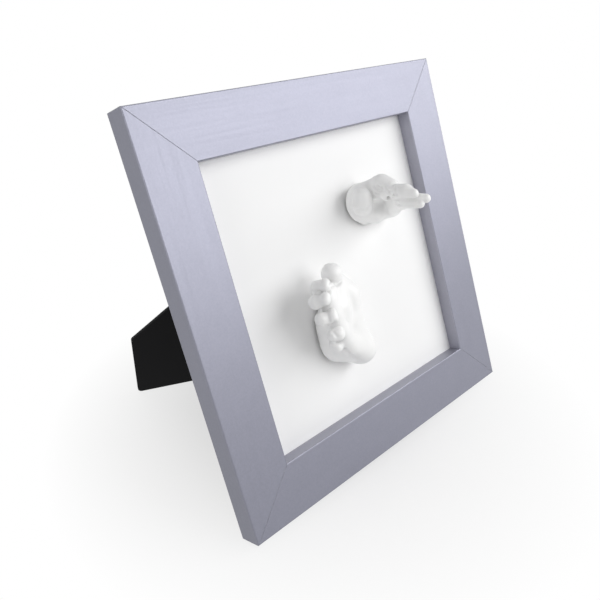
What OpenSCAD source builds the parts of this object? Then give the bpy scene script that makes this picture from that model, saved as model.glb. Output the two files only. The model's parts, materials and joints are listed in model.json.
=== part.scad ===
// Square picture frame on a rear strut, with a plaster cast of a baby's hand and one of a foot.
// Lengths are in millimetres and angles in degrees. X points right as seen from the front,
// Y points back and Z points up. The origin is the middle of the edge on which the frame stands,
// the lower back edge of its bottom rail.

/* [Frame] */
// Side of the square panel that the frame holds
panel_size = 203; // [170:1:260]
// Gap between the panel and the rebate on each side
panel_clear = 0.3; // [0.2:0.1:0.8]
// Width of a rail's front face
rail_w = 37.2; // [32:0.1:50]
// Depth of a rail from front to back
rail_depth = 17.2; // [15:0.1:24]
// Width of the lip that overlaps the panel
lip_w = 4; // [3:0.5:7]
// Rounding of the rails' front edges
edge_round = 0.8; // [0.3:0.1:2]
// Hairline left open at each mitre
mitre_gap = 0.12; // [0.04:0.02:0.4]
// Thickness of the white display panel
panel_t = 3; // [2:0.1:4]
// Thickness of the backing board
board_t = 3.2; // [2.4:0.1:4]
// Distance that the backing board lies below the rails' back
board_recess = 0.3; // [0.2:0.1:1]

/* [Corner nails] */
// Length of one leg of a V nail
nail_leg = 5; // [3:0.5:6]
// Thickness of a V nail
nail_t = 0.6; // [0.4:0.1:1]
// Depth that a V nail reaches into the rails
nail_deep = 7; // [4:0.5:9]
// Distance of the first V nail from the rails' outer edges
nail_first = 9; // [5:0.5:12]
// Spacing of the two V nails at a corner
nail_step = 11; // [8:0.5:13]
// Room round a V nail in its slot
nail_clear = 0.05; // [0.03:0.01:0.15]

/* [Stance] */
// Angle by which the frame leans back
lean = 22; // [16:1:28]
// Angle between the open strut and the back
open_angle = 42; // [36:1:50]

/* [Strut] */
// Turn of the strut's hinge line from level
hinge_turn = 36; // [32:1:42]
// Distance of the hinge's middle to the right of the panel's middle
hinge_x = 37.7; // [34:0.1:44]
// Distance of the hinge's middle above the panel's middle
hinge_up = 62.8; // [56:0.1:68]
// Thickness of the strut
strut_t = 2.6; // [2:0.1:4]
// Width of the strut at the hinge
strut_top_w = 36; // [34:0.5:44]
// Distance of the foot corner to the left of the hinge's middle, along the hinge line
corner_shift = 37; // [30:0.5:44]
// Length of the strut's side edge, from the foot corner
side_edge = 61.4; // [50:0.1:70]
// Length of the strut's foot edge, which stands on the table
foot_edge = 62; // [50:0.5:70]
// Rounding of the strut's corners
strut_round = 3.5; // [1:0.5:8]
// Gap between the folded strut and the rails' back
strut_gap = 1.2; // [1:0.1:3]

/* [Hinge] */
// Width of the hinge along its pin
hinge_w = 30; // [26:0.5:32]
// Length of each hinge leaf from the pin
leaf_l = 23; // [18:0.5:28]
// Thickness of the hinge leaves
leaf_t = 0.8; // [0.6:0.1:1]
// Radius of the hinge pin
pin_r = 1; // [0.8:0.1:1.2]
// Radius of the hinge knuckles
knuckle_r = 2.2; // [2:0.1:2.4]
// Length of the middle knuckle
knuckle_mid = 13.4; // [10:0.2:16]
// Gap between neighbouring knuckles
knuckle_gap = 0.3; // [0.2:0.1:0.6]
// Running clearance of the pin in the moving leaf
pin_clear = 0.07; // [0.03:0.01:0.1]
// Length of the tab that stops the open strut, from the pin's middle
stop_l = 5.4; // [5:0.1:7]

/* [Rivets] */
// Radius of a rivet's shank
rivet_r = 1.5; // [1:0.1:2]
// Radius of a rivet's head
rivet_head_r = 2.7; // [2.3:0.1:3.5]
// Height of a rivet's round head
rivet_head_h = 0.9; // [0.6:0.1:1.4]
// Thickness of a rivet's flat end
rivet_flat_h = 0.5; // [0.3:0.1:0.7]
// Room round a rivet in its hole
rivet_clear = 0.05; // [0.02:0.01:0.1]

/* [Turn buttons] */
// Width of a turn button
button_w = 9; // [7:0.5:12]
// Reach of a turn button from its screw to its tip
button_reach = 24; // [22:0.5:28]
// Thickness of a turn button
button_t = 1.2; // [0.8:0.1:1.6]
// Gap under and over a turn button
button_gap = 0.15; // [0.1:0.05:0.3]
// Radius of a screw's shank
screw_r = 1.7; // [1.2:0.1:2]
// Running clearance of a screw in its button
screw_clear = 0.1; // [0.05:0.01:0.1]
// Depth that a screw reaches into its rail
screw_deep = 9; // [6:0.5:12]
// Radius of a screw's head
screw_head_r = 3.4; // [2.8:0.1:4]
// Height of a screw's head
screw_head_h = 1.7; // [1.2:0.1:2.4]

/* [Hanger] */
// Height of the hanging ring's pivot above the panel's middle
hanger_up = 81; // [74:0.5:82]
// Width of the hanger plate
hanger_w = 10; // [8:0.5:12]
// Length of the hanger plate below the pivot
hanger_l = 19; // [18.5:0.5:20]
// Radius of the hanging ring, to the middle of its wire
ring_r = 10; // [8:0.5:11]
// Radius of the hanging ring's wire
wire_r = 0.9; // [0.7:0.1:1.1]
// Running clearance of the ring in its curl
ring_clear = 0.08; // [0.03:0.01:0.1]

/* [Casts] */
// Thickness of the adhesive foam pads under the casts
pad_t = 2; // [1:0.5:3]
// Length of the foot cast, from heel to big toe
foot_length = 90; // [76:1:96]
// Place of the foot cast's heel on the panel, right of the middle and above it
foot_x = -8.5; // [-14:0.5:2]
foot_v = -55.6; // [-62:0.5:-48]
// Distance that the hand cast stands out from its pad
hand_length = 59; // [48:1:64]
// Place of the hand cast's wrist on the panel, right of the middle and above it
hand_x = 34; // [24:1:44]
hand_v = 42; // [32:1:50]

/* [Hidden] */
$fn = 48;
// The square hole that the rebates leave, the window and the whole frame
opening = panel_size + 2 * panel_clear;
window = opening - 2 * lip_w;
outer = window + 2 * rail_w;
mid = outer / 2;
// In the frame's own places, y is 0 at the rails' back and z is 0 at the bottom rail's edge
lip_depth = rail_depth - panel_t - board_t - board_recess;
panel_y = lip_depth - rail_depth;
board_y = -board_recess;
back_w_mid = (rail_w - lip_w) / 2;
// Distances that the nails and the rivets' flat ends lie below the surface round them
nail_sunk = 0.3;
sink = rivet_flat_h + 0.1;
// Rounding of the rails' small edges, room at the bottom of a screw hole and round a sunk rivet
small_round = 0.3;
hole_room = 0.5;
seat_room = 0.2;
// Distance that a cut starts outside the surface
over = 0.1;
// The hinge line lies in the middle of the strut's thickness
axis_y = strut_gap + strut_t / 2;
knuckle_free = 0.8;
strut_start = knuckle_r + knuckle_free;
leaf_z = board_y - axis_y;
rivet_u = hinge_w / 2 - 2 * rivet_head_r;
rivet_v = leaf_l - 2 * rivet_head_r;
// Fall of the open strut along its length and along the hinge line
fall_s = cos(open_angle) * cos(hinge_turn) * cos(lean) + sin(open_angle) * sin(lean);
fall_h = sin(hinge_turn) * cos(lean);
rise_w = sin(open_angle) * cos(hinge_turn) * cos(lean) - cos(open_angle) * sin(lean);
// The foot edge is cut at the angle at which it lies level on the table
foot_turn = atan(fall_s / fall_h);
foot_dir = [sin(foot_turn), -cos(foot_turn)];
side_dir = [-cos(foot_turn), -sin(foot_turn)];
strut_l = ((mid + hinge_up + corner_shift * sin(hinge_turn)) * cos(lean)
          - axis_y * sin(lean) - strut_t / 2 * abs(rise_w)) / fall_s;
foot_corner = [-corner_shift, strut_l];
// The tab lies on the board leaf when the strut is fully open
stop_gap = 0.1;
stop_w = knuckle_mid - 4;
stop_dip = asin((-leaf_z - 1.5 * leaf_t - stop_gap) / stop_l);
// The hanger's curl stands a little proud of its plate
hanger_t = leaf_t;
curl_r = wire_r + ring_clear + hanger_t;
curl_up = 0.3;
hanger_y = board_y + curl_r + curl_up;
hanger_rivet_drop = hanger_l - hanger_w / 2;
// The casts are drawn in these sizes and brought to their real ones
foot_drawn = 90;
hand_drawn = 61;
foot_scale = foot_length / foot_drawn;
hand_scale = (hand_length + pad_t) / hand_drawn;
foot_pad_r = 9;
foot_pad_at = [-15, 18];
hand_pad_r = 9;

FOIL = [0.68, 0.69, 0.77];
WHITE = [0.96, 0.96, 0.96];
BLACK = [0.06, 0.06, 0.07];
STEEL = [0.72, 0.73, 0.75];

function unit(v) = v / norm(v);

// Points of an arc of radius r that rounds the corner p between the points a and b
function corner(a, p, b, r, n = 6) =
    r <= 0 ? [p] :
    let (u = unit(a - p), w = unit(b - p), half = acos(u * w) / 2,
         c = p + unit(u + w) * r / sin(half),
         s = p + u * r / tan(half) - c, e = p + w * r / tan(half) - c,
         from = atan2(s[1], s[0]), turn = atan2(s[0] * e[1] - s[1] * e[0], s * e))
    [for (i = [0 : n]) c + r * [cos(from + turn * i / n), sin(from + turn * i / n)]];

// Closed outline with each corner rounded by its own radius
function rounded(points, radii) =
    let (n = len(points))
    [for (i = [0 : n - 1], q = corner(points[(i + n - 1) % n], points[i], points[(i + 1) % n], radii[i])) q];

// From the frame's own places to the leaning frame on the table
module leaned() { rotate([-lean, 0, 0]) children(); }

// The bottom is side 0, the left is 1, the top is 2 and the right is 3
module on_side(n) {
    leaned() translate([0, 0, mid]) rotate([0, 90 * n, 0]) translate([0, 0, -mid]) children();
}

// Places on the panel: x right, y up and z out of the panel's front face, from its middle
module on_panel() { leaned() translate([0, panel_y, mid]) rotate([90, 0, 0]) children(); }

// Places at the hinge: x along the pin, y towards the strut's foot and z away from the board
module at_hinge(angle) {
    leaned() translate([hinge_x, axis_y, mid + hinge_up]) rotate([0, hinge_turn, 0])
        rotate([angle - 90, 0, 0]) children();
}

// V nail at the bottom left corner, grown by some room for its slot
module v_nail(d, room, open) {
    a = nail_leg + room;
    b = nail_t + room;
    translate([-mid + d, open, d]) rotate([90, 0, 0])
        linear_extrude(height = nail_deep + room + open + nail_sunk)
            polygon([[-room, -room], [a, -room], [a, b], [b, b], [b, a], [-room, a]]);
}

module nail_slots() {
    for (i = [0, 1]) v_nail(nail_first + i * nail_step, nail_clear, nail_sunk);
}

// Mitred rail of one side, with its rebate, nail slots and screw hole
module rail(n) {
    front = -rail_depth;
    section = rounded([[0, 0], [front, 0], [front, rail_w], [panel_y, rail_w],
                       [panel_y, rail_w - lip_w], [0, rail_w - lip_w]],
                      [0, edge_round, edge_round, small_round, 0, small_round]);
    in = mitre_gap / sqrt(2);
    end = mid - in;
    color(FOIL) on_side(n) difference() {
        intersection() {
            translate([-mid, 0, 0]) rotate([90, 0, 90]) linear_extrude(height = outer) polygon(section);
            rotate([90, 0, 0]) linear_extrude(height = rail_depth)
                polygon([[-end, 0], [end, 0], [end - rail_w, rail_w], [rail_w - end, rail_w]]);
        }
        nail_slots();
        mirror([1, 0, 0]) nail_slots();
        translate([0, over, back_w_mid]) rotate([90, 0, 0])
            cylinder(r = screw_r + rivet_clear, h = screw_deep + over + hole_room);
    }
}

module rail_bottom() { rail(0); }
module rail_left() { rail(1); }
module rail_top() { rail(2); }
module rail_right() { rail(3); }

module corner_v_nails() {
    color(STEEL) for (n = [0 : 3], i = [0, 1]) on_side(n) v_nail(nail_first + i * nail_step, 0, -nail_sunk);
}

module display_panel() {
    color(WHITE) leaned()
        translate([-panel_size / 2, panel_y, mid - panel_size / 2]) cube([panel_size, panel_t, panel_size]);
}

// Hole and sunk seat for a rivet, through the backing board
module board_hole() {
    translate([0, 0, -board_t - 1]) cylinder(r = rivet_r + rivet_clear, h = board_t + 2);
    translate([0, 0, -board_t - 1]) cylinder(r = rivet_head_r + seat_room, h = sink + 1);
}

module backing_board() {
    color(BLACK) difference() {
        leaned() translate([-panel_size / 2, board_y - board_t, mid - panel_size / 2])
            cube([panel_size, board_t, panel_size]);
        for (i = [-1, 1]) at_hinge(0) translate([i * rivet_u, -rivet_v, leaf_z]) board_hole();
        leaned() translate([0, board_y, mid + hanger_up - hanger_rivet_drop]) rotate([-90, 0, 0])
            board_hole();
    }
}

// Rivet with its flat end below z = 0 and its round head on top of the grip
module rivet(grip) {
    dome_r = (rivet_head_r * rivet_head_r + rivet_head_h * rivet_head_h) / (2 * rivet_head_h);
    translate([0, 0, -rivet_flat_h]) cylinder(r = rivet_head_r, h = rivet_flat_h);
    cylinder(r = rivet_r, h = grip);
    translate([0, 0, grip]) intersection() {
        cylinder(r = rivet_head_r, h = rivet_head_h);
        translate([0, 0, rivet_head_h - dome_r]) sphere(r = dome_r);
    }
}

module board_rivets() {
    color(STEEL) for (i = [-1, 1]) at_hinge(0)
        translate([i * rivet_u, -rivet_v, leaf_z - board_t + sink]) rivet(board_t - sink + leaf_t);
}

module strut_rivets() {
    color(STEEL) for (i = [-1, 1]) at_hinge(open_angle)
        translate([i * rivet_u, rivet_v, -strut_t / 2]) rivet(strut_t + leaf_t);
}

module strut() {
    half = strut_top_w / 2;
    color(BLACK) at_hinge(open_angle) difference() {
        translate([0, 0, -strut_t / 2]) linear_extrude(height = strut_t)
            polygon(rounded([[-half, strut_start], [half, strut_start], foot_corner + foot_edge * foot_dir,
                             foot_corner, foot_corner + side_edge * side_dir],
                            [2, 2, 2 * strut_round, strut_round, strut_round]));
        for (i = [-1, 1]) translate([i * rivet_u, rivet_v, -strut_t])
            cylinder(r = rivet_r + rivet_clear, h = 2 * strut_t);
    }
}

module pin_rod(r, l) { rotate([0, 90, 0]) cylinder(r = r, h = l, center = true); }

module hinge_board_leaf() {
    notch = knuckle_mid + 2 * knuckle_gap;
    notch_l = 2 * (knuckle_r + knuckle_free);
    color(STEEL) at_hinge(0) difference() {
        union() {
            translate([-hinge_w / 2, -leaf_l, leaf_z]) cube([hinge_w, leaf_l, leaf_t]);
            translate([-hinge_w / 2, -knuckle_r, leaf_z]) cube([hinge_w, knuckle_r, -leaf_z]);
            pin_rod(knuckle_r, hinge_w);
        }
        translate([-notch / 2, -notch_l / 2, leaf_z - 1]) cube([notch, notch_l, 2 + 2 * knuckle_r - leaf_z]);
        pin_rod(pin_r + rivet_clear, hinge_w + 2);
        for (i = [-1, 1]) translate([i * rivet_u, -rivet_v, leaf_z - 1])
            cylinder(r = rivet_r + rivet_clear, h = leaf_t + 2);
    }
}

module hinge_strut_leaf() {
    color(STEEL) at_hinge(open_angle) difference() {
        union() {
            translate([-hinge_w / 2, strut_start, strut_t / 2]) cube([hinge_w, leaf_l - strut_start, leaf_t]);
            translate([-knuckle_mid / 2, 0, strut_t / 2]) cube([knuckle_mid, strut_start, leaf_t]);
            pin_rod(knuckle_r, knuckle_mid);
            rotate([stop_dip - open_angle, 0, 0])
                translate([-stop_w / 2, -stop_l, -leaf_t / 2]) cube([stop_w, stop_l, leaf_t]);
        }
        pin_rod(pin_r + pin_clear, hinge_w);
        for (i = [-1, 1]) translate([i * rivet_u, rivet_v, 0])
            cylinder(r = rivet_r + rivet_clear, h = strut_t + 2);
    }
}

module hinge_pin() {
    head_t = 0.7;
    head_r = 1.5 * pin_r;
    color(STEEL) at_hinge(0) {
        pin_rod(pin_r, hinge_w + head_t);
        for (i = [-1, 1]) translate([i * (hinge_w + head_t) / 2, 0, 0]) pin_rod(head_r, head_t);
    }
}

// Flat button with round ends, turned about a screw in the middle of the rail's back
module turn_button(n) {
    r = button_w / 2;
    color(STEEL) on_side(n) translate([0, button_gap + button_t, back_w_mid]) rotate([90, 0, 0])
        difference() {
            union() {
                cylinder(r = r, h = button_t);
                translate([0, button_reach - r, 0]) cylinder(r = r, h = button_t);
                translate([-r, 0, 0]) cube([button_w, button_reach - r, button_t]);
            }
            translate([0, 0, -1]) cylinder(r = screw_r + screw_clear, h = button_t + 2);
        }
}

module turn_button_bottom() { turn_button(0); }
module turn_button_left() { turn_button(1); }
module turn_button_top() { turn_button(2); }
module turn_button_right() { turn_button(3); }

module turn_button_screws() {
    under = 2 * button_gap + button_t;
    slot_w = 0.7;
    slot_l = 1.1 * screw_head_r;
    slot_floor = under + 0.5;
    top_r = 0.7 * screw_head_r;
    color(STEEL) for (n = [0 : 3]) on_side(n) translate([0, 0, back_w_mid]) rotate([-90, 0, 0]) difference() {
        union() {
            translate([0, 0, -screw_deep]) cylinder(r = screw_r, h = screw_deep + under);
            translate([0, 0, under]) cylinder(r1 = screw_head_r, r2 = top_r, h = screw_head_h);
        }
        for (a = [0, 90]) rotate([0, 0, a]) translate([-slot_l / 2, -slot_w / 2, slot_floor])
            cube([slot_l, slot_w, screw_head_h]);
    }
}

module hanger_plate() {
    color(STEEL) leaned() translate([0, board_y, mid + hanger_up]) difference() {
        union() {
            translate([-hanger_w / 2, 0, -hanger_rivet_drop]) cube([hanger_w, hanger_t, hanger_rivet_drop]);
            translate([0, 0, -hanger_rivet_drop]) rotate([-90, 0, 0])
                cylinder(r = hanger_w / 2, h = hanger_t);
            translate([-hanger_w / 2, 0, -curl_r]) cube([hanger_w, hanger_y - board_y, 2 * curl_r]);
            translate([0, hanger_y - board_y, 0]) pin_rod(curl_r, hanger_w);
        }
        translate([0, hanger_y - board_y, 0]) pin_rod(wire_r + ring_clear, hanger_w + 2);
        translate([0, -1, -hanger_rivet_drop]) rotate([-90, 0, 0])
            cylinder(r = rivet_r + rivet_clear, h = hanger_t + 2);
    }
}

module hanger_rivet() {
    color(STEEL) leaned() translate([0, board_y - board_t + sink, mid + hanger_up - hanger_rivet_drop])
        rotate([-90, 0, 0]) rivet(board_t - sink + hanger_t);
}

// Wire ring that hangs straight down from the plate's curl
module hanger_ring() {
    color(STEEL) leaned() translate([0, hanger_y, mid + hanger_up]) rotate([lean - 90, 0, 0]) {
        rotate_extrude(angle = 180) translate([ring_r, 0]) circle(r = wire_r);
        pin_rod(wire_r, 2 * ring_r);
        for (i = [-1, 1]) translate([i * ring_r, 0, 0]) sphere(r = wire_r);
    }
}

module hand_pad() {
    color(WHITE) on_panel() translate([hand_x, hand_v, 0]) cylinder(r = hand_pad_r, h = pad_t);
}

module foot_pad() {
    color(WHITE) on_panel() translate([foot_x, foot_v, 0] + foot_scale * [foot_pad_at[0], foot_pad_at[1], 0])
        cylinder(r = foot_pad_r, h = pad_t);
}

// Ball of plaster, and a limb that tapers from one ball to another
module ball(p, r) { translate(p) sphere(r = r, $fn = 20); }
module limb(p, rp, q, rq) { hull() { ball(p, rp); ball(q, rq); } }

// Everything on the panel's side of the pads' front faces
module below_pads() { translate([-150, -150, pad_t - 100]) cube([300, 300, 100]); }

// Right foot with its sole outwards, from its heel: x right, y up and z out of the panel
module foot_form() {
    heel = [0, 0, 12];
    // Hindfoot and instep, cut off flat at the pad
    hull() {
        ball(heel, 11.5);
        ball([-13, 10, 4], 14);
        ball([-19, 26, 4], 13.5);
        ball([-20, 36, 8], 10);
        ball([-9, 12, 15], 11);
    }
    // Sole, from the heel to the balls of the toes
    hull() {
        ball(heel + [-4, 3, 0], 10.5);
        ball([-20, 36, 8], 10);
        ball([-12, 24, 15], 9);
        ball([-17, 43, 19], 9.5);
        ball([-33, 27, 24], 7);
    }
    limb([-19, 50, 21], 7.5, [-25, 64.5, 24], 6.5);
    limb([-28, 48, 23], 5, [-38, 60, 26], 4.2);
    limb([-31, 42, 24], 5, [-46, 51, 28], 4.6);
    limb([-33, 34, 25], 5, [-41, 38, 27], 4.4);
    limb([-34, 27, 26], 4.8, [-42, 29, 31], 4.1);
}

module foot_cast() {
    color(WHITE) on_panel() difference() {
        translate([foot_x, foot_v, 0]) scale(foot_scale) foot_form();
        below_pads();
    }
}

// Half closed hand that stands out from the panel, from its wrist: x right, y up and z out
module hand_form() {
    hull() { ball([0, 0, 0], 16); ball([-1, 2, 12], 14); }
    hull() { ball([-1, 2, 12], 14); ball([1, 7, 24], 11); ball([1, -5, 24], 9.5); }
    hull() { ball([1, 7, 24], 11); ball([1, -5, 24], 9.5); ball([2, 8, 31], 8); ball([2, -5, 34], 7); }
    // Thumb folded over the palm, then the fingers from the first to the last
    limb([-8, 8, 19], 6.5, [-9, 3, 29], 4.8);
    limb([0, 7, 35], 5.2, [0, 1, 50], 3.7);
    limb([5, 0, 37], 5.2, [4, -4.5, 57.2], 3.7);
    limb([1, -6, 38], 4.8, [2, -8.5, 51.5], 3.5);
    limb([-5, -4, 33], 4.4, [-9, -3, 38], 3.6);
}

module hand_cast() {
    color(WHITE) on_panel() difference() {
        translate([hand_x, hand_v, 0]) scale(hand_scale) hand_form();
        below_pads();
    }
}

rail_bottom();
rail_left();
rail_top();
rail_right();
corner_v_nails();
display_panel();
backing_board();
hand_pad();
foot_pad();
hand_cast();
foot_cast();
turn_button_bottom();
turn_button_left();
turn_button_top();
turn_button_right();
turn_button_screws();
strut();
hinge_board_leaf();
hinge_strut_leaf();
hinge_pin();
board_rivets();
strut_rivets();
hanger_plate();
hanger_rivet();
hanger_ring();
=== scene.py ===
"""Square picture frame on a folding strut, with plaster casts of a baby's hand and foot."""
import json
import math

import bpy
import numpy as np
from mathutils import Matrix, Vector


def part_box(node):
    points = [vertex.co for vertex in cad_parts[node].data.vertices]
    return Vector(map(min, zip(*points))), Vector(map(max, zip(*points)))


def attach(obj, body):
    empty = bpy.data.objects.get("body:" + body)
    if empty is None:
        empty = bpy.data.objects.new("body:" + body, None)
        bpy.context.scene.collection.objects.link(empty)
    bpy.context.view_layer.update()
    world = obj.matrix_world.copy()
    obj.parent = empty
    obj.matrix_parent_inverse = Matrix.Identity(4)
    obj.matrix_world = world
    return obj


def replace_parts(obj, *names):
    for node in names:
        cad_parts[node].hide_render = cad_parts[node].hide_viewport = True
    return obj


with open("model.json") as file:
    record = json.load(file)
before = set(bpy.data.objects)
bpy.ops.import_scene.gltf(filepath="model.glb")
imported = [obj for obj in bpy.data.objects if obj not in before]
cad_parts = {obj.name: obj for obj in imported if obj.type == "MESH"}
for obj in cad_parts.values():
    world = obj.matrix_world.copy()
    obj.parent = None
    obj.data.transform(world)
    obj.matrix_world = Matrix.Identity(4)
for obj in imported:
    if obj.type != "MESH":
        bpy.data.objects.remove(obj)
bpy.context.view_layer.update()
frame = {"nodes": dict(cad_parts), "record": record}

# The frame leans back on its bottom rail. These three directions and the middle of the white
# panel's front face give every place below, in millimetres: right, up along the panel, and out.
MM = 0.001
rest_face = frame["record"]["mounts"][0]["axis"]
lean = math.atan2(-rest_face[1], -rest_face[2])
RIGHT = np.array([1.0, 0.0, 0.0])
UP = np.array([0.0, math.sin(lean), math.cos(lean)])
OUT = np.array([0.0, -math.cos(lean), math.sin(lean)])
low, high = (np.array(corner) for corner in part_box("display_panel"))
panel_side = high[0] - low[0]
panel_t = (high[1] - low[1] - panel_side * math.sin(lean)) / math.cos(lean)
panel_middle = (low + high) / 2 + OUT * panel_t / 2


def on_panel(places):
    """Right, up and out in millimetres become places in metres."""
    places = np.asarray(places, float) * MM
    return panel_middle + places @ np.array([RIGHT, UP, OUT])


# Rails: four mitred lengths of a flat fibreboard moulding, wrapped in a satin silver-lilac foil
# with a faint brushed grain along each length. The foil turns over the outer edge onto the back,
# and the bare brown fibreboard shows on the rest of the back.
low, high = (np.array(corner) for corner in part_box("rail_bottom"))
frame_side = high[0] - low[0]
RAIL_WIDTH = 0.0372
LIP_MARGIN = 0.0002
FOIL = (0.244, 0.2475, 0.30)
# Lighter foil along the edges: partly wear and partly a painted highlight
FOIL_EDGE_WEAR_AND_HIGHLIGHT = (0.46, 0.465, 0.52)
# Lighter foil on the lip inside the window: painted light bounced from the white panel
FOIL_LIP_PAINTED_BOUNCE = (0.36, 0.36, 0.42)
FOIL_METAL = 0.62
FOIL_TURN = 0.006
FOIL_RAGGED = 0.0016
FIBREBOARD = (0.30, 0.19, 0.11)
FIBREBOARD_ROUGH = 0.85
BACK_MARGIN = 0.0003
REBATE_DEPTH = 0.0064
REBATE_PLAY = 0.0006


def plug(node, inputs):
    """Gives a node its inputs: one that is a socket is linked, and any other is set as a value."""
    for name, value in inputs.items():
        if isinstance(value, bpy.types.NodeSocket):
            node.id_data.links.new(value, node.inputs[name])
        else:
            node.inputs[name].default_value = value


def put(tree, kind, inputs=(), **settings):
    """Adds a node with its settings and its inputs."""
    node = tree.nodes.new(kind)
    for name, value in settings.items():
        setattr(node, name, value)
    plug(node, dict(inputs))
    return node


def noise(tree, places, scale, detail, roughness=0.5):
    """Noise, mostly between 0.3 and 0.7: layers, each finer and weaker than the one before."""
    return put(tree, "ShaderNodeTexNoise", {
        "Vector": places, "Scale": scale, "Detail": detail, "Roughness": roughness}).outputs[0]


def ramp(tree, value, start, end, before=0.0, after=1.0):
    """The value before up to start and after from end on, and in proportion between them."""
    return put(tree, "ShaderNodeMapRange", {
        "Value": value, "From Min": start, "From Max": end,
        "To Min": before, "To Max": after}).outputs[0]


def spread(tree, noisy, least, most):
    """Noise, which lies mostly between 0.3 and 0.7, spread out between least and most."""
    return ramp(tree, noisy, 0.3, 0.7, least, most)


def join(tree, operation, first, *others):
    """Values joined one after the other by a Math node's operation."""
    for other in others:
        first = put(tree, "ShaderNodeMath", {0: first, 1: other}, operation=operation).outputs[0]
    return first


def shade(colour, share=1.0):
    """A colour times share, up to full white, with a 1 for its alpha."""
    return (*[min(1.0, share * value) for value in colour], 1.0)


def mixed(tree, share, first, second):
    """A colour between first and second."""
    return put(tree, "ShaderNodeMix", {
        "Factor": share, 6: first, 7: second}, data_type="RGBA").outputs[2]


def new_group(name, inputs, outputs):
    """Starts a shader node group. Each socket is a name, its kind and, for an input, its value."""
    tree = bpy.data.node_groups.new(name, "ShaderNodeTree")
    for label, kind, value in inputs:
        socket = tree.interface.new_socket(label, in_out="INPUT", socket_type="NodeSocket" + kind)
        if value is not None:
            socket.default_value = value
    for label, kind in outputs:
        tree.interface.new_socket(label, in_out="OUTPUT", socket_type="NodeSocket" + kind)
    return tree, tree.nodes.new("NodeGroupInput").outputs, tree.nodes.new("NodeGroupOutput")


def make_streaks():
    """Long thin streaks along one direction: noise on places squeezed along that direction."""
    tree, given, sink = new_group(
        "streaks",
        [("Vector", "Vector", None), ("Along", "Float", 12.0), ("Across", "Float", 900.0)],
        [("Streak", "Float"), ("Cloud", "Float")],
    )
    squeeze = put(tree, "ShaderNodeCombineXYZ", {
        0: given["Along"], 1: given["Across"], 2: given["Across"]})
    places = put(tree, "ShaderNodeVectorMath", {
        0: given["Vector"], 1: squeeze.outputs[0]}, operation="MULTIPLY")
    plug(sink, {
        "Streak": noise(tree, places.outputs[0], scale=1.0, detail=3.0, roughness=0.6),
        "Cloud": noise(tree, given["Vector"], scale=60.0, detail=4.0, roughness=0.55)})
    return tree


def make_rubbed_edges():
    """Edges, found where a normal rounded over Width leaves the face's own, and that normal."""
    barely_turned, well_turned = 0.99, 0.85
    patch_start, patch_end, least_wear = 0.42, 0.62, 0.25
    tree, given, sink = new_group(
        "rubbed_edges",
        [("Width", "Float", 0.0005), ("Wear", "Float", 0.5), ("Vector", "Vector", None)],
        [("Edge", "Float"), ("Normal", "Vector")],
    )
    rounded = put(tree, "ShaderNodeBevel", {"Radius": given["Width"]}, samples=6).outputs[0]
    face = put(tree, "ShaderNodeNewGeometry").outputs["True Normal"]
    match = put(tree, "ShaderNodeVectorMath", {0: rounded, 1: face}, operation="DOT_PRODUCT")
    turned = ramp(tree, match.outputs["Value"], barely_turned, well_turned)
    patches = noise(tree, given["Vector"], scale=420.0, detail=4.0)
    broken = ramp(tree, patches, patch_start, patch_end, least_wear, 1.0)
    plug(sink, {"Edge": join(tree, "MULTIPLY", turned, broken, given["Wear"]), "Normal": rounded})
    return tree


streaks = make_streaks()
rubbed_edges = make_rubbed_edges()


def material(name, colour, roughness, metallic=0.0, **shader_values):
    """A Principled material, with the values that don't change over the surface set on it."""
    made = bpy.data.materials.new(name)
    made.use_nodes = True
    shader = made.node_tree.nodes["Principled BSDF"]
    plug(shader, {"Base Color": shade(colour), "Roughness": roughness, "Metallic": metallic})
    plug(shader, {label.replace("_", " "): value for label, value in shader_values.items()})
    return made, made.node_tree, shader


def frame_places(tree, turn=0.0):
    """Object coordinates turned upright: x along the frame, y back and z up, in metres."""
    origin = put(tree, "ShaderNodeTexCoord")
    upright = put(tree, "ShaderNodeMapping", {
        "Vector": origin.outputs["Object"], "Rotation": (lean, 0.0, 0.0)})
    return put(tree, "ShaderNodeMapping", {
        "Vector": upright.outputs[0], "Rotation": (0.0, turn, 0.0)}).outputs[0]


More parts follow.
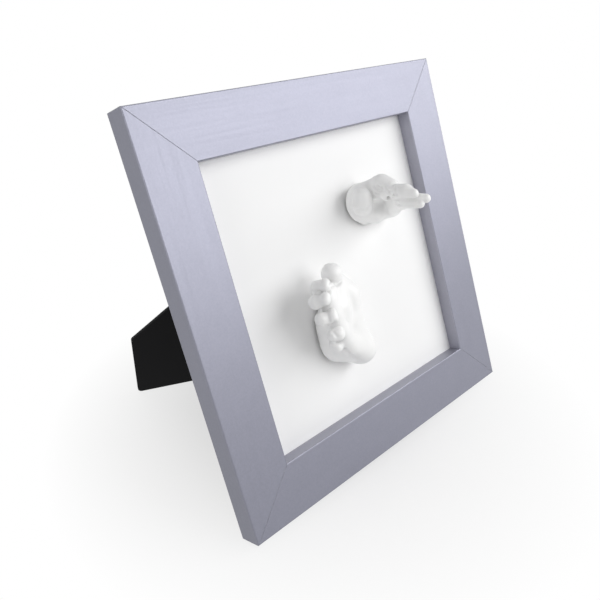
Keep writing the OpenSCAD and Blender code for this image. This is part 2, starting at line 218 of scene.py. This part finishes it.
def foil_material(name, turn):
    """Satin foil whose grain runs along the rail, bare fibreboard on the back and in the rebate."""
    made, tree, shader = material(name, FOIL, 0.42)
    along = frame_places(tree, turn)
    grain = put(tree, "ShaderNodeGroup", {
        "Vector": along, "Along": 9.0, "Across": 1500.0}, node_tree=streaks).outputs
    edges = put(tree, "ShaderNodeGroup", {
        "Width": 0.0005, "Wear": 0.5, "Vector": along}, node_tree=rubbed_edges).outputs
    speckle = noise(tree, along, scale=900.0, detail=2.0, roughness=0.7)
    tone = join(tree, "MULTIPLY",
                spread(tree, grain["Streak"], 0.975, 1.02),
                spread(tree, grain["Cloud"], 0.985, 1.015),
                spread(tree, speckle, 0.96, 1.04))
    fibres = noise(tree, along, scale=1400.0, detail=5.0, roughness=0.7)
    board = mixed(tree, fibres, shade(FIBREBOARD, 0.72), shade(FIBREBOARD, 1.25))
    # Reach is how far a place is from the frame's middle, sideways or upright, whichever is more
    half = frame_side / 2
    across, back, up = put(tree, "ShaderNodeSeparateXYZ", {0: frame_places(tree)}).outputs
    reach = join(tree, "MAXIMUM",
                 join(tree, "ABSOLUTE", across, 0.0),
                 join(tree, "ABSOLUTE", join(tree, "SUBTRACT", up, half), 0.0))
    # Painted light: the foil is lighter on the lip inside the window, standing for light bounced
    # off the white panel, and lighter along the edges, partly wear and partly a painted highlight
    lip = join(tree, "LESS_THAN", reach, half - RAIL_WIDTH + LIP_MARGIN)
    flat = mixed(tree, lip, shade(FOIL), shade(FOIL_LIP_PAINTED_BOUNCE))
    # Edges lighter: partly wear, partly a painted highlight
    foil = mixed(tree, edges["Edge"], flat, shade(FOIL_EDGE_WEAR_AND_HIGHLIGHT))
    toned = put(tree, "ShaderNodeVectorMath", {0: foil, "Scale": tone}, operation="SCALE")
    # The board is bare inside the foil's ragged end on the back, and in the rebate
    ragged = join(tree, "ADD", reach, join(tree, "MULTIPLY", grain["Cloud"], FOIL_RAGGED))
    inner_back = join(tree, "MULTIPLY",
                      join(tree, "LESS_THAN", ragged, half - FOIL_TURN),
                      join(tree, "GREATER_THAN", back, -BACK_MARGIN))
    rebate = join(tree, "MULTIPLY",
                  join(tree, "GREATER_THAN", back, -REBATE_DEPTH),
                  join(tree, "LESS_THAN", reach, panel_side / 2 + REBATE_PLAY))
    bare = join(tree, "MAXIMUM", inner_back, rebate)
    height = join(tree, "ADD", grain["Streak"], join(tree, "MULTIPLY", fibres, bare, 3.0))
    bump = put(tree, "ShaderNodeBump", {
        "Height": height, "Strength": 0.25, "Distance": 0.00006, "Normal": edges["Normal"]})
    plug(shader, {
        "Base Color": mixed(tree, bare, toned.outputs[0], board),
        "Metallic": join(tree, "SUBTRACT", FOIL_METAL, join(tree, "MULTIPLY", bare, FOIL_METAL)),
        "Roughness": join(tree, "MAXIMUM", spread(tree, grain["Streak"], 0.38, 0.48),
                          join(tree, "MULTIPLY", bare, FIBREBOARD_ROUGH)),
        "Normal": bump.outputs[0]})
    return made


def paint(node, made):
    """Gives a frame node its material."""
    data = frame["nodes"][node].data
    data.materials.clear()
    data.materials.append(made)


level_foil = foil_material("foil along the level rails", 0.0)
upright_foil = foil_material("foil along the upright rails", math.radians(90))
paint("rail_bottom", level_foil)
paint("rail_top", level_foil)
paint("rail_left", upright_foil)
paint("rail_right", upright_foil)


# Corner nails: two bright steel V nails across each mitre, driven into the rails' back until they
# lie a little below its surface.
def steel_material(name, colour, roughness):
    """Plated steel: fine rolling marks in its gloss, a cloudy tone and lighter rubbed edges."""
    made, tree, shader = material(name, colour, roughness, 1.0)
    places = frame_places(tree)
    marks = put(tree, "ShaderNodeGroup", {
        "Vector": places, "Along": 60.0, "Across": 2200.0}, node_tree=streaks).outputs
    edges = put(tree, "ShaderNodeGroup", {
        "Width": 0.0003, "Wear": 0.5, "Vector": places}, node_tree=rubbed_edges).outputs
    tone = mixed(tree, marks["Cloud"], shade(colour, 0.86), shade(colour, 1.1))
    bump = put(tree, "ShaderNodeBump", {
        "Height": marks["Streak"], "Strength": 0.2, "Distance": 0.00002,
        "Normal": edges["Normal"]})
    plug(shader, {
        "Base Color": mixed(tree, edges["Edge"], tone, shade(colour, 1.25)),
        "Roughness": spread(tree, marks["Streak"], roughness - 0.06, roughness + 0.08),
        "Normal": bump.outputs[0]})
    return made


paint("corner_v_nails", steel_material("bright nail steel", (0.48, 0.48, 0.48), roughness=0.42))


# Display panel: smooth matt white card, 3 mm thick, with nothing over it. It is held in the rebate
# behind the rails' lip, and the two casts are stuck to its front.
def card_material(name, colour, roughness, fleck, scale=900.0, gloss=0.35):
    """Matt card: a very fine tooth, with a faint change of tone over the sheet."""
    made, tree, shader = material(name, colour, roughness, Specular_IOR_Level=gloss)
    places = frame_places(tree)
    tooth = noise(tree, places, scale, detail=4.0, roughness=0.65)
    tone = join(tree, "MULTIPLY", tooth, noise(tree, places, scale=14.0, detail=2.0))
    bump = put(tree, "ShaderNodeBump", {"Height": tooth, "Strength": 0.12, "Distance": 0.00004})
    plug(shader, {
        "Base Color": mixed(tree, tone, shade(colour, 1 - fleck), shade(colour, 1 + fleck)),
        "Normal": bump.outputs[0]})
    return made


paint("display_panel", card_material(
    "white display card", (0.95, 0.95, 0.95), roughness=0.62, fleck=0.01))

# Backing board: hardboard faced with black paper, which closes the rebate behind the panel. The
# turn buttons hold it in, and it carries the strut's hinge and the hanger.
paint("backing_board", card_material(
    "black faced backing", (0.022, 0.022, 0.025), roughness=0.7, fleck=0.3))

# Foam pads: two white discs of double-sided adhesive foam between the casts and the panel, a
# little squeezed, so that their sides bulge.
PAD_R = 9.0
PAD_T = 2.0
PAD_BULGE = 0.35
HAND_AT = np.array([34.0, 42.0, 0.0])
FOOT_AT = np.array([-8.5, -55.6, 0.0])
SOLE_FROM_HEEL = (-15.0, 18.0)


def surface(name, grids, made):
    """Joins grids of places (rows x columns x 3), each closed round its columns, into one piece."""
    places, faces, start = [], [], 0
    for grid in grids:
        rows, columns = grid.shape[:2]
        index = start + np.arange(rows * columns).reshape(rows, columns)
        across = np.roll(index, -1, axis=1)
        faces.append(np.stack([index[:-1], across[:-1], across[1:], index[1:]], -1).reshape(-1, 4))
        places.append(grid.reshape(-1, 3))
        start += rows * columns
    mesh = bpy.data.meshes.new(name)
    mesh.from_pydata(np.concatenate(places).tolist(), [], np.concatenate(faces).tolist())
    piece = bpy.data.objects.new(name, mesh)
    bpy.context.scene.collection.objects.link(piece)
    weld = piece.modifiers.new("weld the poles", "WELD")
    weld.merge_threshold = 1e-6
    mesh.materials.append(made)
    mesh.polygons.foreach_set("use_smooth", np.ones(len(mesh.polygons), bool))
    return piece


def foam_pad(name, right, up):
    """A disc's half outline turned round: a quarter of its places on each flat face, and half on
    the side, which bulges like half a sine."""
    rows, columns, face_share = 13, 64, 0.25
    along = np.linspace(0, 1, rows)[:, None]
    turn = np.linspace(0, 2 * np.pi, columns, endpoint=False)
    side = np.clip((along - face_share) / (1 - 2 * face_share), 0, 1)
    face = np.clip(np.minimum(along, 1 - along) / face_share, 0, 1)
    reach = PAD_R * face + PAD_BULGE * np.sin(np.pi * side)
    grid = np.stack([right + reach * np.cos(turn), up + reach * np.sin(turn),
                     PAD_T * side + 0 * turn], -1)
    pad = surface(name, [on_panel(grid)], foam)
    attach(pad, "frame")
    return pad


foam = card_material(
    "white foam", (0.84, 0.84, 0.82), roughness=0.8, fleck=0.08, scale=2200.0)
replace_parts(foam_pad("hand_foam_pad", *HAND_AT[:2]), "hand_pad")
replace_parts(foam_pad("foot_foam_pad", *(FOOT_AT[:2] + SOLE_FROM_HEEL)), "foot_pad")

# Foot cast: a right foot in hard white plaster from a mould, cut off flat behind and stuck to its
# foam pad with its sole outwards. It is one skin over limbs that melt into each other, with creases
# pressed into it. Its places are measured from the heel, in millimetres.
SKIN_STEPS = 8
SLOPE_STEP = 0.08
LONGEST_MOVE = 1.2
STEP_FLOOR, FACING_FLOOR = 0.2, 0.5
CUT_FILLET = 0.4
CREASE_STEP = 2.0


def limb(places, start, start_r, end, end_r):
    """Distance of places from a limb that tapers from a ball at its start to one at its end: that
    to the nearest place on the line between them, less the radius there."""
    start, end = np.array(start, float), np.array(end, float)
    line = end - start
    share = np.clip((places - start) @ line / max(line @ line, 1e-9), 0, 1)
    radius = start_r + share * (end_r - start_r)
    return np.linalg.norm(places - start - share[:, None] * line, axis=1) - radius


def egg(places, middle, radii):
    """Rough distance of places from an egg. Near is how far they are from its middle, in its own
    radii, and near times near less one is divided by near's own slope."""
    middle, radii = np.array(middle, float), np.array(radii, float)
    outward = (places - middle) / radii
    near = np.linalg.norm(outward, axis=1)
    steep = np.linalg.norm(outward / radii, axis=1) + 1e-9
    return near * (near - 1) / steep


def melt(places, forms, reach):
    """Distance from forms melted into one, by the logarithm of a sum of exponentials, none of which
    may overflow. A form is a limb, of two balls, or an egg, of a middle and three radii."""
    gaps = [limb(places, *form) if len(form) == 4 else egg(places, *form) for form in forms]
    total = sum(np.exp(-np.clip(gap, -40, 60) / reach) for gap in gaps)
    return -reach * np.log(total + 1e-30)


def lean_on(first, second, reach):
    """Distance from two forms: the lesser one's, and where both are about as near, a mix of the two
    less a part of reach, which makes a fillet."""
    share = np.clip(0.5 + 0.5 * (first - second) / reach, 0, 1)
    return first * (1 - share) + second * share - reach * share * (1 - share)


def skin(places, body, parts):
    """Distance from the whole cast: body and parts melted together and cut off flat."""
    reach, forms = body
    whole = melt(places, forms, reach)
    for reach, fillet, forms in parts:
        whole = lean_on(whole, melt(places, forms, reach), fillet)
    return -lean_on(-whole, places[:, 2] - PAD_T, CUT_FILLET)


def to_skin(places, body, parts):
    """Places moved down the skin's slope until they lie on it, each step being the distance over
    the slope, and the way that the skin faces there. Floors keep both finite where it is flat."""
    for _ in range(SKIN_STEPS):
        gap = skin(places, body, parts)[:, None]
        ahead = [skin(places + step, body, parts) for step in SLOPE_STEP * np.eye(3)]
        slope = (np.stack(ahead, 1) - gap) / SLOPE_STEP
        steep = np.linalg.norm(slope, axis=1)[:, None]
        move = -gap * slope / np.maximum(steep ** 2, STEP_FLOOR)
        places = places + np.clip(move, -LONGEST_MOVE, LONGEST_MOVE)
    return places, slope / np.maximum(steep, FACING_FLOOR)


def press(places, bends, width, depth, body, parts):
    """How far a crease lowers the skin: a bell of the distance to a line along the skin, which goes
    from bend to bend in short steps."""
    bends = np.array(bends, float)
    far = np.r_[0, np.cumsum(np.linalg.norm(np.diff(bends, axis=0), axis=1))]
    along = np.linspace(0, far[-1], math.ceil(far[-1] / CREASE_STEP) + 1)
    line = np.stack([np.interp(along, far, bends[:, axis]) for axis in range(3)], 1)
    line = to_skin(line, body, parts)[0]
    lengths = zip(line[:-1], line[1:])
    near = np.min([limb(places, start, 0, end, 0) for start, end in lengths], axis=0)
    return depth * np.exp(-(near / width) ** 2)


def limb_grid(start, start_r, end, end_r):
    """A limb as a grid: rings round its line, over the outer half of the ball at each end. A ball
    alone has a line of next to no length."""
    rows, columns, next_to_none = 7, 28, 1e-6
    aslant = [0.3, 0.5, 0.8]
    start, end = np.array(start, float), np.array(end, float)
    line = end - start + next_to_none
    line /= np.linalg.norm(line)
    side = np.cross(line, aslant)
    side /= np.linalg.norm(side)
    tip = np.linspace(0, np.pi / 2, rows)
    along = np.r_[-np.cos(tip), np.sin(tip)]
    reach = np.r_[np.sin(tip), np.cos(tip)]
    at_start = np.arange(2 * rows) < rows
    middle = np.where(at_start[:, None], start, end)
    radius = np.where(at_start, start_r, end_r)
    turn = np.linspace(0, 2 * np.pi, columns, endpoint=False)[:, None]
    ring = np.cos(turn) * side + np.sin(turn) * np.cross(line, side)
    spine = middle + (radius * along)[:, None] * line
    return spine[:, None] + (radius * reach)[:, None, None] * ring


def egg_grid(middle, radii):
    """An egg as a grid: a ball of radius 1, stretched by the three radii."""
    return np.array(middle) + limb_grid((0, 0, 0), 1, (0, 0, 0), 1) * np.array(radii)


def cast(name, node, at, body, parts, creases, voxel):
    """Rough limbs made one closed mesh by a voxel remesh, moved onto the skin in steps, and the
    creases pressed in along the skin's normals."""
    forms = body[1] + [form for part in parts for form in part[2]]
    grids = [limb_grid(*form) if len(form) == 4 else egg_grid(*form) for form in forms]
    for grid in grids:
        grid[..., 2] = np.maximum(grid[..., 2], PAD_T)
    piece = surface(name, [grid * MM for grid in grids], plaster)
    fuse = piece.modifiers.new("one skin", "REMESH")
    fuse.mode = "VOXEL"
    fuse.voxel_size = voxel * MM
    fused = piece.evaluated_get(bpy.context.evaluated_depsgraph_get())
    mesh = bpy.data.meshes.new_from_object(fused)
    piece.modifiers.clear()
    piece.data = mesh
    places = np.empty(len(mesh.vertices) * 3)
    mesh.vertices.foreach_get("co", places)
    places, facing = to_skin(places.reshape(-1, 3) / MM, body, parts)
    pressed = sum(press(places, *crease, body, parts) for crease in creases)
    places -= pressed[:, None] * facing
    places[:, 2] = np.maximum(places[:, 2], PAD_T)
    mesh.vertices.foreach_set("co", on_panel(places + at).ravel())
    mesh.update()
    mesh.polygons.foreach_set("use_smooth", np.ones(len(mesh.polygons), bool))
    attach(piece, "frame")
    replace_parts(piece, node)


def plaster_material():
    """White plaster: a slight sheen, a soft mottle, fine pits and grey painted shade laid into the
    folds.
    """
    pit_edge, pit_floor = 0.16, 0.05
    open_air, deep_fold, most_painted_shade = 0.9, 0.35, 0.6
    made, tree, shader = material("white plaster", (0.92, 0.92, 0.915), 0.42,
                                  Specular_IOR_Level=0.5, Coat_Weight=0.3, Coat_Roughness=0.25)
    places = frame_places(tree)
    mottle = noise(tree, places, scale=160.0, detail=5.0, roughness=0.6)
    pores = put(tree, "ShaderNodeTexVoronoi", {"Vector": places, "Scale": 520.0, "Randomness": 1.0})
    pits = ramp(tree, pores.outputs["Distance"], pit_edge, pit_floor)
    # Painted shade: folds and hollows are greyed, the deeper the darker, where shade falls
    shelter = put(tree, "ShaderNodeAmbientOcclusion", {"Distance": 0.0035}, samples=8)
    painted_fold_shade = ramp(tree, shelter.outputs["AO"], open_air, deep_fold, 0.0, most_painted_shade)
    clean = mixed(tree, mottle, shade((0.89, 0.89, 0.885)), shade((0.945, 0.945, 0.94)))
    height = join(tree, "SUBTRACT", mottle, join(tree, "MULTIPLY", pits, 0.6))
    bump = put(tree, "ShaderNodeBump", {"Height": height, "Strength": 0.25, "Distance": 0.0002})
    plug(shader, {
        "Base Color": mixed(tree, painted_fold_shade, clean, shade((0.5, 0.495, 0.485))),
        "Roughness": join(tree, "ADD", join(tree, "MULTIPLY", mottle, 0.2), 0.33),
        "Normal": bump.outputs[0]})
    return made


plaster = plaster_material()

# A cast's body is how far its limbs melt, and the limbs: here the instep, the heel, the sole's
# inner side, its rim and the balls of the toes
foot_body = (2, [
    ((-15, 14.5, 6), 15.4, (-15, 26.5, 8), 16.5),
    ((-15, 14.5, 6), 15.4, (-3.5, 4.5, 8), 11.2),
    ((-16.5, 55, 18), 8, (-12, 45, 16), 11),
    ((-12, 45, 16), 11, (-12, 32, 14), 10.5),
    ((-12, 32, 14), 10.5, (-10.5, 18.5, 13), 9.5),
    ((-10.5, 18.5, 13), 9.5, (-4, 3, 13), 10),
    ((-31, 55.5, 25.5), 4.4, (-36, 49, 28), 4.4),
    ((-36, 49, 28), 4.4, (-34, 38, 27.5), 4.4),
    ((-34, 38, 27.5), 4.4, (-29.5, 25.5, 25), 4.8),
    ((-29.5, 25.5, 25), 4.8, (-20.5, 13, 20), 6.2),
    ((-20.5, 13, 20), 6.2, (-7, 5, 15), 8.5),
    ((-21.5, 51, 21.5), 7.4, (-25, 41.5, 23), 7.4),
    ((-38, 55, 23.5), 4.4, (-36, 54, 28), 4.2),
    ((-25, 41.5, 23), 7.4, (-20.5, 29, 20.5), 7.4),
])
# Its parts are how far their own limbs melt, their fillet, and the limbs: here the big toe, three
# curled toes of two joints each, the little toe and the small bump below it
foot_parts = [
    (1, 1.4, [((-19.5, 58, 21), 6, (-21.5, 63.5, 22), 7.2)]),
    (0.8, 0.7, [
        ((-37, 61.5, 31), 3.4, (-38, 59.5, 31.5), 3.5),
        ((-38, 60.5, 26), 3.8, (-38, 60, 24), 4.2),
    ]),
    (0.8, 0.7, [
        ((-41.5, 54, 33), 3.2, (-42.5, 52, 33.5), 3.3),
        ((-44, 51.5, 26), 5, (-43, 51.5, 27.5), 4.4),
    ]),
    (0.8, 0.7, [
        ((-39.5, 42, 33), 3.3, (-40, 39, 33.5), 3.4),
        ((-44.5, 40, 28), 4.9, (-42.5, 40, 29), 4.4),
    ]),
    (0.8, 1, [((-39.5, 27, 28.5), 4.2, (-36.5, 27, 30), 4.6)]),
    (0.8, 2.6, [((-33, 16, 22.5), (3.4, 3.4, 3.4)), ((-34, 18.5, 21), (3.4, 3.4, 3.4))]),
]
# Its creases are their bends, width and depth: here the folds between the toes, the hollow along
# the sole, the folds at the toes' joints, and the one beside the heel
foot_creases = [
    ([(-37, 60.5, 34.5), (-31, 58, 30), (-24, 56.5, 27), (-19.5, 58, 27.5)], 0.9, 0.7),
    ([(-40, 56.5, 30), (-39.5, 56.5, 32.5), (-36.5, 56, 32.5)], 0.8, 0.8),
    ([(-41.5, 45.5, 27), (-41.5, 47, 30.5), (-41, 47.5, 31.5)], 1.2, 1),
    ([(-47, 36, 28.5), (-44.5, 35.5, 30), (-38.5, 34, 28), (-38, 34.5, 30), (-41.5, 36.5, 35.5)],
     1.8, 1.6),
    ([(-35, 20, 24.5), (-33, 20, 26), (-32, 22, 29)], 0.7, 0.7),
    ([(-16.5, 45, 29), (-16, 36.5, 28), (-19, 26, 28)], 3.6, 0.9),
    ([(-39.5, 63.5, 30.5), (-41, 62, 31), (-41.5, 59, 31)], 0.7, 0.5),
    ([(-44.5, 55.5, 32.5), (-46, 52.5, 33.5), (-46, 51, 33)], 0.7, 0.5),
    ([(-41.5, 44.5, 32.5), (-43.5, 41.5, 33.5), (-44, 38.5, 34)], 0.8, 0.6),
    ([(-41, 30, 31), (-40.5, 27, 33)], 0.9, 0.8),
    ([(-29, 13, 23), (-26.5, 9.5, 23), (-22, 5, 22)], 1.6, 0.8),
]
cast("plaster_foot", "foot_cast", FOOT_AT, foot_body, foot_parts, foot_creases,
     voxel=0.7)

# Hand cast: a half closed hand in the same hard white plaster. It is cut off flat at the wrist,
# whose middle its places are measured from, and stands out from the panel on its foam pad.
hand_body = (1, [
    ((0, 0, 1), (12.5, 15.5, 8)),
    ((-8.5, 2, 7.5), (10.5, 12.5, 8)),
    ((-9, 8, 12), 7.8, (-2.5, 9.5, 17), 6.8),
    ((-9.5, -5, 7), 5.8, (5, -11, 8), 4.8),
    ((5, -11, 8), 4.8, (20, -11, 9), 4.4),
])
# The palm and its far side, the roll at the wrist, two joints of the folded thumb, the three
# fingers that show, and a knuckle
hand_parts = [
    (1.6, 1.4, [
        ((-2.5, 9.5, 17), 6.6, (-0.5, 10, 25), 7.4),
        ((-0.5, 10, 25), 7.4, (0, 7, 32), 6.8),
        ((10.5, -3, 5.5), 7.4, (21, -7.5, 10), 7.2),
        ((2, -6.5, 8), 5, (16.5, -8.5, 9.5), 5),
        ((23.5, -8, 8), 7.2, (9, -3, 31), 6.6),
    ]),
    (0.8, 0.7, [((-12.5, 6.5, 16), 6.8, (-13.5, 0.5, 15.5), 7.4)]),
    (0.8, 1, [((-4.5, 7.5, 27.5), 3.6, (-2.5, 3, 29), 3.5)]),
    (0.8, 1, [((-3.5, 6.5, 35), 3.8, (-1.5, 0.5, 36), 3.4)]),
    (0.7, 1, [
        ((-2.5, 4.5, 40), 5.4, (-1.5, 3.5, 46), 4.6),
        ((-1.5, 3.5, 46), 4.6, (-1, 1, 52), 3.2),
    ]),
    (0.7, 0.8, [((0, -0.5, 42), 4.2, (6, -4.5, 55.5), 3.1)]),
    (0.7, 0.7, [((-1, -3.5, 40), 4.2, (2.5, -7, 52.5), 3)]),
    (0.7, 1.6, [((2.5, -5.5, 38), (3.6, 3.6, 3.6))]),
]
# Four folds beside the thumb, two pits, and the folds below a finger, of the wrist and below the
# last knuckle
hand_creases = [
    ([(-8.5, 11.5, 25), (-8.5, 8.5, 27.5), (-7.5, 8, 31)], 0.9, 1.2),
    ([(-8, 12, 28), (-7, 9, 32)], 0.8, 0.9),
    ([(-8, 6.5, 24.5), (-7.5, 5.5, 27)], 0.9, 1.1),
    ([(-6, 10, 33.5), (-7, 6.5, 36.5), (-7, 5, 36)], 0.9, 0.9),
    ([(-4, 1, 32.5), (-4.5, 1.5, 33)], 1.2, 2.8),
    ([(-7.5, 2.5, 38.5), (-8, 3, 39.5)], 0.9, 1.8),
    ([(-5.5, 8.5, 41.5), (-7, 6.5, 42.5), (-7, 3, 43)], 0.9, 0.8),
    ([(-20, -2.5, 15.5), (-18.5, -2.5, 20), (-15, -0.5, 22.5)], 0.9, 0.6),
    ([(-4.5, -4, 37.5), (-5, -4.5, 40)], 1.4, 1.5),
]
cast("plaster_hand", "hand_cast", HAND_AT, hand_body, hand_parts, hand_creases,
     voxel=0.5)

# Turn buttons: pressed zinc-plated steel tabs that turn on a screw in each rail's back and hold
# the backing board in.
button_steel = steel_material("zinc-plated button steel", (0.62, 0.62, 0.60), roughness=0.32)
screw_steel = steel_material("zinc-plated screw steel", (0.60, 0.585, 0.54), roughness=0.28)
for side in ("bottom", "left", "top", "right"):
    paint("turn_button_" + side, button_steel)
paint("turn_button_screws", screw_steel)

# Strut: black board on a diagonal hinge. Its board is faced with black grained paper, and its
# nickel-plated leaves are riveted to it and to the backing board.
paint("strut", card_material(
    "black grained strut paper", (0.007, 0.007, 0.008), roughness=0.6, fleck=0.4, scale=600.0,
    gloss=0.12))
hinge_steel = steel_material("nickel-plated hinge steel", (0.62, 0.625, 0.63), roughness=0.3)
rivet_steel = steel_material("nickel-plated rivet steel", (0.58, 0.58, 0.585), roughness=0.35)
for node in ("hinge_board_leaf", "hinge_strut_leaf", "hinge_pin"):
    paint(node, hinge_steel)
for node in ("board_rivets", "strut_rivets"):
    paint(node, rivet_steel)

# Hanger: a pressed plate with a D-shaped wire ring in its curl, plated like the strut's hinge. One
# rivet holds the plate on the backing board.
paint("hanger_plate", hinge_steel)
paint("hanger_rivet", rivet_steel)
paint("hanger_ring", hinge_steel)

# Floor: a pale matt sheet under the frame, which takes its soft shadow. Away from the frame it
# fades to the backdrop's white, seen from the camera or in something shiny.
FLOOR_HALF = 6.0
FLOOR_MIDDLE = 0.06
FADE_START, FADE_END = 0.05, 0.22
FADE_LEAST = 0.5
WHITE = (1.0, 1.0, 1.0, 1.0)


def looked_at(tree):
    """1 for rays from the camera, a shiny or a see-through surface, and 0 for those that light."""
    rays = put(tree, "ShaderNodeLightPath").outputs
    return join(tree, "MAXIMUM",
                rays["Is Camera Ray"], rays["Is Glossy Ray"], rays["Is Transmission Ray"])


floor_mesh = bpy.data.meshes.new("floor")
floor_mesh.from_pydata(
    [(x * FLOOR_HALF, y * FLOOR_HALF, 0) for x, y in ((-1, -1), (1, -1), (1, 1), (-1, 1))],
    [], [(0, 1, 2, 3)])
floor = bpy.data.objects.new("floor", floor_mesh)
bpy.context.scene.collection.objects.link(floor)
floor_made, tree, shader = material("pale floor", (0.9, 0.9, 0.9), 0.9, Specular_IOR_Level=0.0)
spot = put(tree, "ShaderNodeTexCoord")
from_middle = put(tree, "ShaderNodeVectorMath", {
    0: spot.outputs["Object"], 1: (0.0, -FLOOR_MIDDLE, 0.0)}, operation="ADD")
away = put(tree, "ShaderNodeVectorMath", {0: from_middle.outputs[0]}, operation="LENGTH")
fade = ramp(tree, away.outputs["Value"], FADE_START, FADE_END, FADE_LEAST, 1.0)
backdrop = put(tree, "ShaderNodeEmission", {"Color": WHITE, "Strength": 1.0})
blend = put(tree, "ShaderNodeMixShader", {
    0: join(tree, "MULTIPLY", fade, looked_at(tree)),
    1: shader.outputs[0], 2: backdrop.outputs[0]})
plug(tree.nodes["Material Output"], {"Surface": blend.outputs[0]})
floor_mesh.materials.append(floor_made)

# Light: a wide softbox to the right in front, small lamps from the left, from the left above and
# from behind, which lift the shadows, and a dim even surround that looks white itself.
TARGET = (0.0, 0.035, 0.13)
SURROUND_POWER = 0.2


def softbox(name, turn, rise, distance, width, height, power):
    """A lamp that faces the frame. Turn is its angle from the right towards the front, and rise its
    angle up from the floor, both seen from the target."""
    lamp = bpy.data.lights.new(name, "AREA")
    lamp.shape = "RECTANGLE"
    lamp.size = width
    lamp.size_y = height
    lamp.energy = power
    held = bpy.data.objects.new(name, lamp)
    bpy.context.scene.collection.objects.link(held)
    turn, rise = math.radians(turn), math.radians(rise)
    held.location = (TARGET[0] + distance * math.cos(rise) * math.cos(turn),
                     TARGET[1] - distance * math.cos(rise) * math.sin(turn),
                     TARGET[2] + distance * math.sin(rise))
    held.rotation_euler = (math.pi / 2 - rise, 0.0, math.pi / 2 - turn)


softbox("softbox", turn=49.0, rise=28.0, distance=1.5, width=1.8, height=1.0, power=19.0)
softbox("fill", turn=170.0, rise=12.0, distance=1.3, width=0.6, height=0.6, power=2.7)
softbox("top fill", turn=120.0, rise=55.0, distance=1.3, width=0.5, height=0.5, power=1.4)
softbox("back light", turn=265.0, rise=58.0, distance=1.5, width=0.9, height=0.9, power=2.5)

surround = bpy.data.worlds.new("pale surround")
surround.use_nodes = True
bpy.context.scene.world = surround
tree = surround.node_tree
dim = put(tree, "ShaderNodeBackground", {"Color": WHITE, "Strength": SURROUND_POWER})
bright = put(tree, "ShaderNodeBackground", {"Color": WHITE, "Strength": 1.0})
both = put(tree, "ShaderNodeMixShader", {
    0: looked_at(tree), 1: dim.outputs[0], 2: bright.outputs[0]})
plug(tree.nodes["World Output"], {"Surface": both.outputs[0]})

# Camera: in front to the left and above, looking down at the frame by 28.5 degrees. Its place and
# lens follow from how the frame's corners lie in the photo.
CAMERA_AT = (-0.29995, -0.22567, 0.32387)
LOOK_DOWN, LOOK_RIGHT = 28.5, 43.65
camera = bpy.data.cameras.new("camera")
camera.lens = 37.4
camera.sensor_width = 36.0
camera.clip_start = 0.01
held = bpy.data.objects.new("camera", camera)
bpy.context.scene.collection.objects.link(held)
held.location = CAMERA_AT
held.rotation_euler = (math.radians(90 - LOOK_DOWN), 0.0, math.radians(-LOOK_RIGHT))
bpy.context.scene.camera = held
bpy.context.scene.view_settings.view_transform = "Standard"
